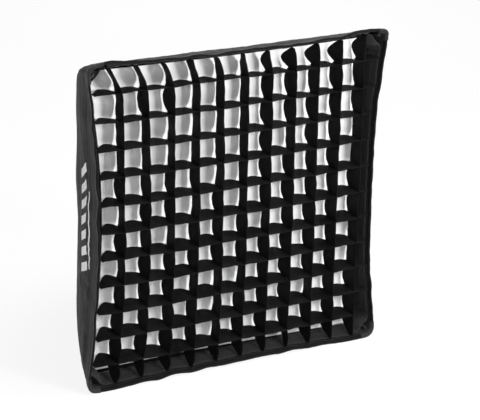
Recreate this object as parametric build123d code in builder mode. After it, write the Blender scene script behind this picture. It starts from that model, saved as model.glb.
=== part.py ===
# Square softbox, 600 x 600 mm, for a lamp with a three-lug bayonet.
# Four bent rods stand in a speedring and hold out a black shell with a silver lining.
# A white front diffuser and an egg-crate grid are held inside the lip by hook-and-loop tape.
#
# Frame: +Z up, the light leaves towards -Y, origin at the bayonet's mounting face, on its axis.
# "depth" is measured backwards from the front rim, "inset" inwards from the shell's outer face.

from build123d import *
import os
from math import acos, asin, cos, degrees, radians, sin, sqrt

os.makedirs("parts", exist_ok=True)

# ------------------------------------------------------------------ driving sizes, mm
rim_side = 600.0             # outside of the front rim
lip_depth = 42.0             # rim to the seam behind the lip
hem_depth = 9.0              # binding along the rim's edge

rod_diameter = 4.0
rod_front_radius = 900.0     # bend of the long front run
rod_rear_radius = 200.0      # bend near the ring
rod_tip_lean = radians(21.0)     # from the optical axis, at the rim
rod_ring_lean = radians(84.4)    # from the optical axis, at the socket
rod_inset = 10.0             # fabric's corner to the rod's axis, along the diagonal
rod_end_radius = 66.0        # rear end of a rod, from the optical axis
rod_clear_run = 12.8         # straight run between the bend and the socket
rod_tip_depth = 15.0         # rim to the front end of a rod

side_bow = 20.0              # how far the stretched rim draws in at mid-side, left and right
cap_bow = 3.0                # the same, top and bottom
bow_reach = 200.0            # depth over which that fades
slack_bow = 0.6              # what is left of it behind that

fabric = 1.2                 # outer shell
lining = 0.6
lining_gap = 0.3             # between shell and lining
lip_thickness = 2.4          # shell fabric folded double
hem_thickness = 3.2
tape = 1.0                   # loop tape on the lip
tape_gap = 0.1               # between sewn layers
touch_gap = 0.3              # between pieces that come apart

grid_cells = 12              # each way
upright_pitch = 48.0         # between the upright strips
upright_shift = 12.0         # which stand a little to the right
crossing_pitch = 50.0        # between the crossing strips
grid_front_depth = 1.0
grid_rear_depth = 38.5
grid_strip = 1.0
grid_slot_play = 0.3         # slot width over strip thickness
grid_band_front = 11.0       # hook band round the grid
grid_band_rear = 27.0
diffuser_band_front = 30.0   # hook band round the diffuser
diffuser_band_rear = 41.0
band = 1.2
diffuser_thickness = 0.8

pocket_leg = 28.0            # webbing pocket across each front corner
pocket_rear = 38.0           # rim to the pocket's mouth
tip_cap_radius = 3.0
tip_cap_length = 16.0
tip_cap_wall = 3.0           # cap in front of the rod's end
tip_cap_play = 0.2           # rod in its cap, radial
pocket_play = 0.35           # cap in its pocket, radial

ring_radius = 76.0
ring_thickness = 10.0
ring_standoff = 4.0          # mounting face to the ring's rear face
ring_rod_gap = 6.0           # rod's axis, where its bend ends, to the plane of the ring's front
hub_radius = 54.0
hub_play = 0.05              # running clearance of the ring on the hub, radial
bore_radius = 45.0
flange_radius = 62.0
flange_thickness = 3.0
collar_radius = 49.0
collar_length = 12.0
lug_radius = 54.0
lug_thickness = 4.0
lug_width = 30.0
lug_count = 3
retainer_radius = 63.0
retainer_bore = 46.0
retainer_thickness = 3.0
face_play = 0.2              # axial play of the ring between flange and retainer
washer_inner = 55.0
washer_outer = 61.0

socket_width = 18.0
socket_outer_radius = 93.0
socket_inner_radius = 63.0
socket_height = 12.0
socket_fillet = 2.0
rod_play = 0.05
socket_screw_radius = 1.25
socket_screw_circle = 69.5
socket_screw_spread = 5.0    # each side of the rod
screw_head_radius = 2.4
screw_head_height = 1.5
screw_bite = 5.0
screw_play = 0.1
retainer_screw_circle = 49.5
retainer_screws = 6

lock_circle = 69.0
lock_screw_radius = 2.5
lock_play = 0.05
lock_knob_radius = 9.0
lock_knob_height = 14.0
lock_knob_flutes = 8
lock_flute_radius = 1.6
lock_shoulder_gap = 0.3

cuff_thickness = 1.2
cuff_overlap = 6.0           # how far the rear cuff laps over the flaps
cuff_play = 0.4
cuff_corner = 14.0
flap_hole_margin = 4.0       # flaps' square hole, past the ring on each side

# ------------------------------------------------------------------ shell's curve
# In a plane through the optical axis and one corner, the fabric's edge is two tangent arcs.
# The lean at which they meet is the one that brings the rod into its socket.
diagonal = sqrt(2.0)
fabric_front_radius = rod_front_radius + rod_inset
fabric_rear_radius = rod_rear_radius + rod_inset
front_centre_r = rim_side / 2 * diagonal - fabric_front_radius * cos(rod_tip_lean)
front_centre_d = -fabric_front_radius * sin(rod_tip_lean)
rod_bend_end_r = socket_outer_radius + rod_clear_run
bend_reach = rod_bend_end_r - rod_rear_radius * cos(rod_ring_lean) - front_centre_r
bend_lean = acos(bend_reach / (rod_front_radius - rod_rear_radius))
bend_depth = front_centre_d + fabric_front_radius * sin(bend_lean)     # the rear flaps begin here
rear_centre_r = front_centre_r + (rod_front_radius - rod_rear_radius) * cos(bend_lean)
rear_centre_d = front_centre_d + (rod_front_radius - rod_rear_radius) * sin(bend_lean)

# The speedring stands behind the rods' straight rear ends, and the origin behind the speedring.
rod_bend_end_d = rear_centre_d + rod_rear_radius * sin(rod_ring_lean)
rod_straight = (rod_bend_end_r - rod_end_radius) / sin(rod_ring_lean)
rod_end_depth = rod_bend_end_d + rod_straight * cos(rod_ring_lean)
ring_front_depth = rod_end_depth + ring_rod_gap
face_depth = ring_front_depth + ring_thickness + ring_standoff

ring_front = ring_thickness + ring_standoff      # distances in front of the origin
retainer_rear = ring_front + face_play
retainer_front = retainer_rear + retainer_thickness

sides = {"top": 0, "right": 90, "bottom": 180, "left": 270}
corners = {"top_right": 45, "top_left": 135, "bottom_left": 225, "bottom_right": 315}


def half_side(depth):
    # half the side of the shell's square outline at a depth
    if depth <= bend_depth:
        reach = sqrt(fabric_front_radius**2 - (depth - front_centre_d) ** 2)
        return (front_centre_r + reach) / diagonal
    reach = sqrt(fabric_rear_radius**2 - (depth - rear_centre_d) ** 2)
    return (rear_centre_r + reach) / diagonal


def bow(side, depth):
    # how far the middle of a side is drawn in at a depth
    rim_bow = cap_bow if side in ("top", "bottom") else side_bow
    return rim_bow * max(0.0, 1.0 - depth / bow_reach) ** 1.5 + slack_bow


def drawn_in(side, depth, along):
    # outer face's distance from the axis at a place along a side
    half = half_side(depth)
    return half - bow(side, depth) * (1.0 - (along / half) ** 2)


def side_plane(side, depth):
    # looks along the optical axis, with its local +Y towards the side's wall
    turn = radians(sides[side])
    across = (cos(turn), 0, -sin(turn))
    return Plane(origin=(0, depth - face_depth, 0), x_dir=across, z_dir=(0, -1, 0))


def corner_plane(corner):
    # holds the optical axis and a corner: local X is the radius, local Y is the depth
    turn = radians(corners[corner])
    outwards = (cos(turn), 0, sin(turn))
    return Plane(origin=(0, -face_depth, 0), x_dir=outwards, z_dir=(-sin(turn), 0, cos(turn)))


def wall_section(side, depth, outer, inner):
    # a wall cut across at a depth, between two insets, mitred at both ends
    far = half_side(depth) - outer
    near = half_side(depth) - inner
    sag = bow(side, depth)
    with BuildSketch(side_plane(side, depth)) as section:
        with BuildLine():
            ThreePointArc((-far, far), (0, far - sag), (far, far))
            Line((far, far), (near, near))
            ThreePointArc((near, near), (0, near - sag), (-near, near))
            Line((-near, near), (-far, far))
        make_face()
    return section.sketch


def bend_points(inset, first_depth, last_lean, steps=4):
    # points on the rear bend, as (half side, depth), offset inwards from the shell's outer face
    first_lean = asin((first_depth - rear_centre_d) / (fabric_rear_radius - inset))
    leans = [first_lean + (last_lean - first_lean) * i / steps for i in range(steps + 1)]
    radius = fabric_rear_radius - inset
    return [((rear_centre_r + radius * cos(a)) / diagonal, rear_centre_d + radius * sin(a)) for a in leans]


def wall_profile(side, points_out, points_in):
    # a wall's section along the optical axis, in the plane half-way along the side
    turn = radians(sides[side])
    up = (sin(turn), 0, cos(turn))
    with BuildSketch(Plane(origin=(0, -face_depth, 0), x_dir=up, z_dir=(-cos(turn), 0, sin(turn)))) as band_sketch:
        with BuildLine():
            Spline(points_out)
            Line(points_out[-1], points_in[-1])
            Spline(points_in[::-1])
            Line(points_in[0], points_out[0])
        make_face()
    return band_sketch.sketch


def mitre_planes(side):
    # the two diagonal planes at a side's ends, both normals pointing away from the side
    turn = radians(sides[side])
    for lean in (-45, 45):
        away = turn + radians(lean + (90 if lean > 0 else -90))
        yield Plane(origin=(0, 0, 0), z_dir=(sin(away), 0, cos(away)))


# ------------------------------------------------------------------ shell: four sides
panel_steps = 5
panel_depths = [lip_depth + (bend_depth - lip_depth) * i / panel_steps for i in range(panel_steps + 1)]
lip_depths = [hem_depth, grid_band_front, grid_band_rear, diffuser_band_front, lip_depth]
flap_hole = ring_radius + flap_hole_margin
lining_outer = fabric + lining_gap
lining_inner = lining_outer + lining


def lean_at(half, inset):
    # lean on the rear bend at which the wall has come in to a half side
    reach = half * diagonal - rear_centre_r
    return asin(sqrt(1.0 - (reach / (fabric_rear_radius - inset)) ** 2))


for side in sides:
    # outer panel, from the lip's seam to the rear flaps
    with BuildPart() as panel:
        loft(sections=[wall_section(side, depth, 0, fabric) for depth in panel_depths])
    panel.part.label = f"panel_{side}"
    export_step(panel.part, f"parts/panel_{side}.step")

    # rear flap, over the rods' bend to a square hole round the speedring
    outer_points = bend_points(0, bend_depth, lean_at(flap_hole, 0))
    inner_points = bend_points(fabric, bend_depth, lean_at(flap_hole, fabric))
    with BuildPart() as flap:
        extrude(wall_profile(side, outer_points, inner_points), amount=half_side(bend_depth), both=True)
        for plane in mitre_planes(side):
            split(bisect_by=plane, keep=Keep.BOTTOM)
    flap.part.label = f"rear_flap_{side}"
    export_step(flap.part, f"parts/rear_flap_{side}.step")

    # silver lining: a long front cloth and a short one over the bend
    outer_points = bend_points(lining_outer, bend_depth, lean_at(flap_hole, lining_outer))
    inner_points = bend_points(lining_inner, bend_depth, lean_at(flap_hole, lining_inner))
    with BuildPart() as cloth:
        extrude(wall_profile(side, outer_points, inner_points), amount=half_side(bend_depth), both=True)
        for plane in mitre_planes(side):
            split(bisect_by=plane, keep=Keep.BOTTOM)
        loft(sections=[wall_section(side, depth, lining_outer, lining_inner) for depth in panel_depths])
    cloth.part.label = f"lining_{side}"
    export_step(cloth.part, f"parts/lining_{side}.step")

    # lip, in front of the seam
    with BuildPart() as lip:
        loft(sections=[wall_section(side, depth, 0, lip_thickness) for depth in lip_depths])
    lip.part.label = f"lip_{side}"
    export_step(lip.part, f"parts/lip_{side}.step")

# rim binding, one length along each side
with BuildPart() as rim_binding:
    for side in sides:
        loft(sections=[wall_section(side, depth, 0, hem_thickness) for depth in (0, hem_depth)])
rim_binding.part.label = "rim_binding"
export_step(rim_binding.part, "parts/rim_binding.step")

# ------------------------------------------------------------------ tapes and hook bands inside the lip
tape_outer = lip_thickness + tape_gap
tape_inner = tape_outer + tape
band_outer = tape_inner + touch_gap
band_inner = band_outer + band
band_half_length = half_side(lip_depth) - band_inner - pocket_leg - touch_gap


def lip_strips(front, rear, outer, inner):
    # four strips inside the lip, stopping short of the corner pockets
    with BuildPart() as strips:
        for side in sides:
            turn = radians(sides[side])
            across = Vector(cos(turn), 0, -sin(turn))
            with BuildPart(mode=Mode.PRIVATE) as strip:
                loft(sections=[wall_section(side, depth, outer, inner) for depth in (front, rear)])
                split(bisect_by=Plane(origin=across * band_half_length, z_dir=across), keep=Keep.BOTTOM)
                split(bisect_by=Plane(origin=across * -band_half_length, z_dir=across), keep=Keep.TOP)
            add(strip.part)
    return strips.part


grid_tape = lip_strips(grid_band_front, grid_band_rear, tape_outer, tape_inner)
grid_tape.label = "grid_loop_tape"
export_step(grid_tape, "parts/grid_loop_tape.step")

diffuser_tape = lip_strips(diffuser_band_front, diffuser_band_rear, tape_outer, tape_inner)
diffuser_tape.label = "diffuser_loop_tape"
export_step(diffuser_tape, "parts/diffuser_loop_tape.step")

grid_band = lip_strips(grid_band_front, grid_band_rear, band_outer, band_inner)
grid_band.label = "grid_hook_band"
export_step(grid_band, "parts/grid_hook_band.step")

diffuser_band = lip_strips(diffuser_band_front, diffuser_band_rear, band_outer, band_inner)
diffuser_band.label = "diffuser_hook_band"
export_step(diffuser_band, "parts/diffuser_hook_band.step")

# ------------------------------------------------------------------ front diffuser
cloth_depth = diffuser_band_rear - diffuser_thickness
cloth_inset = band_inner + tape_gap
cloth_half = half_side(diffuser_band_rear) - cloth_inset
cloth_cut = (2 * cloth_half - pocket_leg - 2 * touch_gap) / diagonal   # to the cut-off corners

with BuildPart() as diffuser:
    with BuildSketch(side_plane("top", cloth_depth)):
        with BuildLine():
            for side in sides:
                turn = radians(sides[side])
                sag = bow(side, diffuser_band_rear)
                ends = [(along * cos(turn) + out * sin(turn), out * cos(turn) - along * sin(turn))
                        for along, out in ((-cloth_half, cloth_half), (0, cloth_half - sag), (cloth_half, cloth_half))]
                ThreePointArc(*ends)
        make_face()
    extrude(amount=-diffuser_thickness)
    for corner in corners.values():
        out = Vector(cos(radians(corner)), 0, sin(radians(corner)))
        split(bisect_by=Plane(origin=out * cloth_cut, z_dir=out), keep=Keep.BOTTOM)
diffuser.part.label = "diffuser_cloth"
export_step(diffuser.part, "parts/diffuser_cloth.step")

# ------------------------------------------------------------------ egg-crate grid
upright_places = [
    upright_shift + upright_pitch * (i - grid_cells / 2) for i in range(1, grid_cells)
]
crossing_places = [crossing_pitch * (i - grid_cells / 2) for i in range(1, grid_cells)]
slot_depth = (grid_rear_depth - grid_front_depth) / 2
strip_gap = band_inner + tape_gap


def strip_profile(place, upright):
    # one grid strip, cut half through at each crossing
    side = "top" if upright else "right"
    front = drawn_in(side, grid_front_depth, place) - strip_gap
    rear = drawn_in(side, grid_rear_depth, place) - strip_gap
    if upright:
        plane = Plane(origin=(place, -face_depth, 0), x_dir=(0, 0, 1), z_dir=(-1, 0, 0))
        slot_middle = grid_rear_depth - slot_depth / 2
        others = crossing_places
    else:
        plane = Plane(origin=(0, -face_depth, place), x_dir=(1, 0, 0), z_dir=(0, 0, 1))
        slot_middle = grid_front_depth + slot_depth / 2
        others = upright_places
    outline = [(-front, grid_front_depth), (front, grid_front_depth), (rear, grid_rear_depth), (-rear, grid_rear_depth)]
    with BuildSketch(plane) as profile:
        with BuildLine():
            Polyline(*outline, close=True)
        make_face()
        with Locations(*[(other, slot_middle) for other in others]):
            Rectangle(grid_strip + grid_slot_play, slot_depth + grid_slot_play, mode=Mode.SUBTRACT)
    return profile.sketch


with BuildPart() as grid_uprights:
    for place in upright_places:
        extrude(strip_profile(place, upright=True), amount=grid_strip / 2, both=True)
grid_uprights.part.label = "grid_uprights"
export_step(grid_uprights.part, "parts/grid_uprights.step")

with BuildPart() as grid_crossings:
    for place in crossing_places:
        extrude(strip_profile(place, upright=False), amount=grid_strip / 2, both=True)
grid_crossings.part.label = "grid_crossings"
export_step(grid_crossings.part, "parts/grid_crossings.step")

# ------------------------------------------------------------------ rods, sockets and corner pockets
rod_radius = rod_diameter / 2
rod_tip_angle = asin((rod_tip_depth - front_centre_d) / rod_front_radius)
pocket_inset = lip_thickness + tape_gap
pocket_front = hem_depth + touch_gap


def rod_point(lean):
    # rod's axis on its front bend, as (radius, depth)
    return front_centre_r + rod_front_radius * cos(lean), front_centre_d + rod_front_radius * sin(lean)


def pocket_section(corner, depth):
    # triangle in the corner of the lip, its two long sides along the lip's inner faces
    turn = radians(corners[corner])
    right = 1 if cos(turn) > 0 else -1
    up = 1 if sin(turn) > 0 else -1
    tip = half_side(depth) - pocket_inset
    leg = tip - pocket_leg
    over = drawn_in("top", depth, leg) - pocket_inset
    beside = drawn_in("right", depth, leg) - pocket_inset
    with BuildSketch(side_plane("top", depth)) as section:
        with BuildLine():
            Polyline((right * tip, up * tip), (right * leg, up * over), (right * beside, up * leg), close=True)
        make_face()
    return section.sketch


rod_tips = []
for corner in corners:
    plane = corner_plane(corner)
    tip_r, tip_d = rod_point(rod_tip_angle)
    tip = plane.from_local_coords(Vector(tip_r, tip_d, 0))
    run = plane.from_local_coords(Vector(*rod_point(rod_tip_angle + 0.03), 0)) - tip
    tip_plane = Plane(origin=tip, z_dir=run)

    with BuildPart() as rod:
        with BuildLine(plane):
            CenterArc((front_centre_r, front_centre_d), rod_front_radius,
                      degrees(rod_tip_angle), degrees(bend_lean - rod_tip_angle))
            CenterArc((rear_centre_r, rear_centre_d), rod_rear_radius,
                      degrees(bend_lean), degrees(rod_ring_lean - bend_lean))
            Line((rod_bend_end_r, rod_bend_end_d), (rod_end_radius, rod_end_depth))
        with BuildSketch(Plane(origin=tip, x_dir=plane.z_dir, z_dir=run)):
            Circle(rod_radius)
        sweep()
    rod.part.label = f"rod_{corner}"
    export_step(rod.part, f"parts/rod_{corner}.step")

    # rubber cap on the rod's front end
    with BuildPart() as cap:
        with BuildSketch(tip_plane.offset(-tip_cap_wall)):
            Circle(tip_cap_radius)
        extrude(amount=tip_cap_length)
        with BuildSketch(tip_plane.offset(-tip_cap_play)):
            Circle(rod_radius + tip_cap_play)
        extrude(amount=tip_cap_length, mode=Mode.SUBTRACT)
        fillet(cap.edges().filter_by(GeomType.CIRCLE).group_by(SortBy.RADIUS)[-1], rod_radius / 4)
    rod_tips.append(cap.part)

    # webbing pocket that takes the capped end
    with BuildPart() as pocket:
        loft(sections=[pocket_section(corner, depth) for depth in (pocket_front, pocket_rear)], ruled=True)
        with BuildSketch(tip_plane.offset(-tip_cap_wall - touch_gap)):
            Circle(tip_cap_radius + pocket_play)
        extrude(amount=pocket_rear, mode=Mode.SUBTRACT)
    pocket.part.label = f"corner_pocket_{corner}"
    export_step(pocket.part, f"parts/corner_pocket_{corner}.step")

    # socket block on the speedring's front face
    socket_middle = (socket_outer_radius + socket_inner_radius) / 2
    socket_length = socket_outer_radius - socket_inner_radius
    rod_end = plane.from_local_coords(Vector(rod_end_radius, rod_end_depth, 0))
    rod_out = plane.from_local_coords(Vector(rod_bend_end_r, rod_bend_end_d, 0)) - rod_end
    with BuildPart() as socket:
        with BuildSketch(plane):
            with Locations((socket_middle, ring_front_depth - socket_height / 2)):
                Rectangle(socket_length, socket_height)
        extrude(amount=socket_width / 2, both=True)
        fillet(socket.edges().filter_by(Axis.Y), socket_fillet)
        with BuildSketch(Plane(origin=rod_end, z_dir=rod_out).offset(-touch_gap)):
            Circle(rod_radius + rod_play)
        extrude(amount=socket_length, mode=Mode.SUBTRACT)
        for hand in (-1, 1):
            foot = Plane(origin=plane.from_local_coords(
                Vector(socket_screw_circle, ring_front_depth, hand * socket_screw_spread)), z_dir=(0, -1, 0))
            with BuildSketch(foot):
                Circle(socket_screw_radius + screw_play)
            extrude(amount=screw_bite + screw_play, mode=Mode.SUBTRACT)
    socket.part.label = f"rod_socket_{corner}"
    export_step(socket.part, f"parts/rod_socket_{corner}.step")

with BuildPart() as tip_caps:
    for cap_part in rod_tips:
        add(cap_part)
tip_caps.part.label = "rod_tip_caps"
export_step(tip_caps.part, "parts/rod_tip_caps.step")

# ------------------------------------------------------------------ speedring
screw_spots = [(socket_screw_circle * cos(radians(turn)) - hand * socket_screw_spread * sin(radians(turn)),
                socket_screw_circle * sin(radians(turn)) + hand * socket_screw_spread * cos(radians(turn)))
               for turn in corners.values() for hand in (-1, 1)]
screw_well = screw_head_height + screw_play

with BuildPart() as speedring:
    with BuildSketch(Plane.XZ.offset(ring_standoff)):
        Circle(ring_radius)
        Circle(hub_radius + hub_play, mode=Mode.SUBTRACT)
    extrude(amount=ring_thickness)
    rim_edges = speedring.edges().filter_by(GeomType.CIRCLE).group_by(SortBy.RADIUS)[-1]
    chamfer(rim_edges, 1.0)
    with BuildSketch(Plane.XZ.offset(ring_standoff)):
        with Locations((0, lock_circle)):
            Circle(lock_screw_radius + lock_play)
        with Locations(*screw_spots):
            Circle(socket_screw_radius + screw_play)
    extrude(amount=ring_thickness, mode=Mode.SUBTRACT)
    with BuildSketch(Plane.XZ.offset(ring_standoff)):
        with Locations(*screw_spots):
            Circle(screw_head_radius + screw_play)
    extrude(amount=screw_well, mode=Mode.SUBTRACT)
speedring.part.label = "speedring"
export_step(speedring.part, "parts/speedring.step")

with BuildPart() as socket_screws:
    with BuildSketch(Plane.XZ.offset(ring_standoff + screw_well)):
        with Locations(*screw_spots):
            Circle(socket_screw_radius)
    extrude(amount=ring_thickness - screw_well + screw_bite)
    with BuildSketch(Plane.XZ.offset(ring_standoff + screw_play)):
        with Locations(*screw_spots):
            Circle(screw_head_radius)
            RegularPolygon(screw_head_radius / 2, 6, mode=Mode.SUBTRACT)
    extrude(amount=screw_head_height)
    with BuildSketch(Plane.XZ.offset(ring_standoff + screw_well)):
        with Locations(*screw_spots):
            Circle(screw_head_radius)
    extrude(amount=-screw_head_height / 2)
socket_screws.part.label = "socket_screws"
export_step(socket_screws.part, "parts/socket_screws.step")

with BuildPart() as glide_washer:
    with BuildSketch(Plane.XZ.offset(flange_thickness + tape_gap / 2)):
        Circle(washer_outer)
        Circle(washer_inner, mode=Mode.SUBTRACT)
    extrude(amount=ring_standoff - flange_thickness - tape_gap)
glide_washer.part.label = "glide_washer"
export_step(glide_washer.part, "parts/glide_washer.step")

# rear cuff, a square patch over the flaps' edges with a round hole for the ring
cuff_front_depth = ring_front_depth + tape_gap
with BuildPart() as cuff:
    with BuildSketch(side_plane("top", cuff_front_depth)):
        RectangleRounded(2 * (flap_hole + cuff_overlap), 2 * (flap_hole + cuff_overlap), cuff_corner)
        Circle(ring_radius + cuff_play, mode=Mode.SUBTRACT)
    extrude(amount=-cuff_thickness)
cuff.part.label = "rear_cuff"
export_step(cuff.part, "parts/rear_cuff.step")

# ------------------------------------------------------------------ lock thumbscrew
lock_seat = retainer_front + lock_shoulder_gap
with BuildPart() as lock_knob:
    with BuildSketch(Plane.XZ.offset(lock_seat)):
        with Locations((0, lock_circle)):
            Circle(lock_knob_radius)
            Circle(lock_screw_radius, mode=Mode.SUBTRACT)
    extrude(amount=lock_knob_height)
    with BuildSketch(Plane.XZ.offset(lock_seat + lock_shoulder_gap + screw_head_height)):
        with Locations((0, lock_circle)):
            with PolarLocations(lock_knob_radius + lock_flute_radius / 3, lock_knob_flutes):
                Circle(lock_flute_radius)
    extrude(amount=lock_knob_height, mode=Mode.SUBTRACT)
lock_knob.part.label = "lock_knob"
export_step(lock_knob.part, "parts/lock_knob.step")

with BuildPart() as lock_screw:
    with BuildSketch(Plane.XZ.offset(ring_standoff + screw_play)):
        with Locations((0, lock_circle)):
            Circle(lock_screw_radius)
    extrude(amount=lock_seat + lock_knob_height - ring_standoff - 2 * screw_play)
lock_screw.part.label = "lock_screw"
export_step(lock_screw.part, "parts/lock_screw.step")

# ------------------------------------------------------------------ bayonet insert
with BuildPart() as insert_ring:
    with BuildSketch(Plane.XZ):
        Circle(hub_radius)
    extrude(amount=ring_front)
    with BuildSketch(Plane.XZ):
        Circle(flange_radius)
    extrude(amount=flange_thickness)
    with BuildSketch(Plane.XZ):
        Circle(collar_radius)
    extrude(amount=-collar_length)
    with BuildSketch(Plane.XZ.offset(-collar_length)):
        with PolarLocations(lug_radius - lug_thickness, lug_count, start_angle=90):
            Rectangle(lug_thickness * 2, lug_width)
        Circle(lug_radius, mode=Mode.INTERSECT)
    extrude(amount=lug_thickness)
    with BuildSketch(Plane.XZ.offset(-collar_length)):
        Circle(bore_radius)
    extrude(amount=collar_length + ring_front, mode=Mode.SUBTRACT)
    with BuildSketch(Plane.XZ.offset(ring_front)):
        with PolarLocations(retainer_screw_circle, retainer_screws):
            Circle(socket_screw_radius + screw_play)
    extrude(amount=-screw_bite - screw_play, mode=Mode.SUBTRACT)
insert_ring.part.label = "bayonet_insert"
export_step(insert_ring.part, "parts/bayonet_insert.step")

with BuildPart() as retainer:
    with BuildSketch(Plane.XZ.offset(ring_front)):
        Circle(hub_radius)
        Circle(retainer_bore, mode=Mode.SUBTRACT)
    extrude(amount=face_play)
    with BuildSketch(Plane.XZ.offset(retainer_rear)):
        Circle(retainer_radius)
        Circle(retainer_bore, mode=Mode.SUBTRACT)
    extrude(amount=retainer_thickness)
    with BuildSketch(Plane.XZ.offset(ring_front)):
        with PolarLocations(retainer_screw_circle, retainer_screws):
            Circle(socket_screw_radius + screw_play)
    extrude(amount=retainer_thickness + face_play, mode=Mode.SUBTRACT)
retainer.part.label = "retainer_ring"
export_step(retainer.part, "parts/retainer_ring.step")

with BuildPart() as retainer_bolts:
    with BuildSketch(Plane.XZ.offset(ring_front - screw_bite)):
        with PolarLocations(retainer_screw_circle, retainer_screws):
            Circle(socket_screw_radius)
    extrude(amount=screw_bite + face_play + retainer_thickness)
    with BuildSketch(Plane.XZ.offset(retainer_front)):
        with PolarLocations(retainer_screw_circle, retainer_screws):
            Circle(screw_head_radius)
    extrude(amount=screw_head_height)
retainer_bolts.part.label = "retainer_screws"
export_step(retainer_bolts.part, "parts/retainer_screws.step")
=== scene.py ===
import math
import random

import bmesh
import bpy
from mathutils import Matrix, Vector, noise


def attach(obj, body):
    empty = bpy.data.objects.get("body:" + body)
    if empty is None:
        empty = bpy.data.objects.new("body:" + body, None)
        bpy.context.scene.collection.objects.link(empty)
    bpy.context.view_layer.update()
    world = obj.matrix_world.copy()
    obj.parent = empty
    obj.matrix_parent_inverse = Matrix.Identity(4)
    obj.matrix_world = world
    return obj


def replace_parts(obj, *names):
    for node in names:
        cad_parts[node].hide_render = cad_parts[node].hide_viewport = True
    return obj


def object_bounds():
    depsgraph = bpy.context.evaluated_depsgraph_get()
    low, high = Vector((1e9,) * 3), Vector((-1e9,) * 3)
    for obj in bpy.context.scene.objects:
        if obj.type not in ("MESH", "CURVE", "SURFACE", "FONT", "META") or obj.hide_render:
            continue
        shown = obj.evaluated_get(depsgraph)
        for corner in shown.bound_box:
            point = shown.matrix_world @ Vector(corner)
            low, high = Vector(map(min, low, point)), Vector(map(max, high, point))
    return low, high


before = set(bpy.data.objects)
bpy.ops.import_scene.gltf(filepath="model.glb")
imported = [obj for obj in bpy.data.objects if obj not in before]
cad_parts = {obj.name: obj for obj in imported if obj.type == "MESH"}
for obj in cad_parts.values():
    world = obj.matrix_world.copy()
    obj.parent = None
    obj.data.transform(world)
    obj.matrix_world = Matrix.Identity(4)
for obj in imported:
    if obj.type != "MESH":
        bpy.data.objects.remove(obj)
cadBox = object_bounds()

# Metres throughout. The light leaves towards -Y, +Z is up, the origin is the bayonet's mounting face.
# Depth is measured back from the front rim, inset inwards from the shell's outer face.
rimHalf = cadBox[1].x
rimY = cadBox[0].y
rootTwo = math.sqrt(2)
print("frame loaded:", len(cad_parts), "CAD nodes")


def operator(kind, reflected=False):
    # one Math node as an operator or a method of Value
    def apply(self, *others):
        return self.nodes.maths(kind, *((*others, self) if reflected else (self, *others)))
    return apply


class Value:
    # a socket that can stand in a plain expression
    def __init__(self, nodes, socket):
        self.nodes = nodes
        self.socket = socket

    def out(self, name):
        return Value(self.nodes, self.socket.node.outputs[name])

    __add__ = __radd__ = operator("ADD")
    __mul__ = __rmul__ = operator("MULTIPLY")
    __sub__ = operator("SUBTRACT")
    __rsub__ = operator("SUBTRACT", reflected=True)
    __truediv__ = operator("DIVIDE")
    __rtruediv__ = operator("DIVIDE", reflected=True)
    __lt__ = operator("LESS_THAN")
    __gt__ = operator("GREATER_THAN")
    __abs__ = operator("ABSOLUTE")
    most = operator("MAXIMUM")
    sine = operator("SINE")
    part = operator("FRACT")


class Nodes:
    # fills one material's or world's tree
    def __init__(self, tree):
        self.tree = tree

    def fill(self, node, inputs):
        for key, given in inputs.items():
            if isinstance(given, Value):
                self.tree.links.new(given.socket, node.inputs[key])
            else:
                node.inputs[key].default_value = given

    def add(self, kind, settings=None, inputs=None, out=0):
        node = self.tree.nodes.new(kind)
        for key, setting in (settings or {}).items():
            setattr(node, key, setting)
        self.fill(node, inputs or {})
        return Value(self, node.outputs[out])

    def maths(self, kind, *values):
        return self.add("ShaderNodeMath", {"operation": kind}, dict(enumerate(values)))


class Finish(Nodes):
    # one material, with its Principled shader ready
    def __init__(self, name):
        self.material = bpy.data.materials.new(name)
        self.material.use_nodes = True
        super().__init__(self.material.node_tree)
        self.shader = self.tree.nodes["Principled BSDF"]

    def cloth(self):
        # metres along and across the cut cloth, and the two as one place
        place = self.add("ShaderNodeUVMap", {"uv_map": "cloth"})
        split = self.add("ShaderNodeSeparateXYZ", None, {0: place})
        return split.out("X"), split.out("Y"), place

    def weave(self, along, across, thread):
        turn = 2 * math.pi / thread
        return (along * turn).sine() * (across * turn).sine()

    def ripstop(self, along, across, pitch, width):
        # a grid of thicker threads, each a share of the pitch wide
        return ((along / pitch).part() < width).most((across / pitch).part() < width)

    def cloud(self, place, scale, detail=3.0, roughness=0.55, twist=0.0, stretch=None):
        if stretch:
            place = self.add("ShaderNodeVectorMath", {"operation": "MULTIPLY"}, {0: place, 1: stretch})
        return self.add("ShaderNodeTexNoise", None, {"Vector": place, "Scale": scale, "Detail": detail,
                                                     "Roughness": roughness, "Distortion": twist})

    def between(self, first, second, mask):
        # one colour to another by a mask
        return self.add("ShaderNodeMix", {"data_type": "RGBA"}, {0: mask, 6: first, 7: second}, out=2)

    def step(self, given, low, high):
        # 0 below low, 1 above high
        settings = {"interpolation_type": "SMOOTHSTEP"}
        return self.add("ShaderNodeMapRange", settings, {0: given, 1: low, 2: high})

    def relief(self, height, depth, normal=None):
        inputs = {"Height": height, "Strength": 1.0, "Distance": depth}
        if normal:
            inputs["Normal"] = normal
        return self.add("ShaderNodeBump", None, inputs)

    def set(self, **sockets):
        names = {"colour": "Base Color", "roughness": "Roughness", "metallic": "Metallic",
                 "sheen": "Sheen Weight", "sheenRoughness": "Sheen Roughness",
                 "specular": "Specular IOR Level", "normal": "Normal"}
        self.fill(self.shader, {names[key]: given for key, given in sockets.items()})
        return self.material


def shade(level):
    # a grey as it looks on screen, 0 to 255
    linear = (level / 255) ** 2.2
    return (linear, linear, linear, 1.0)


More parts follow.
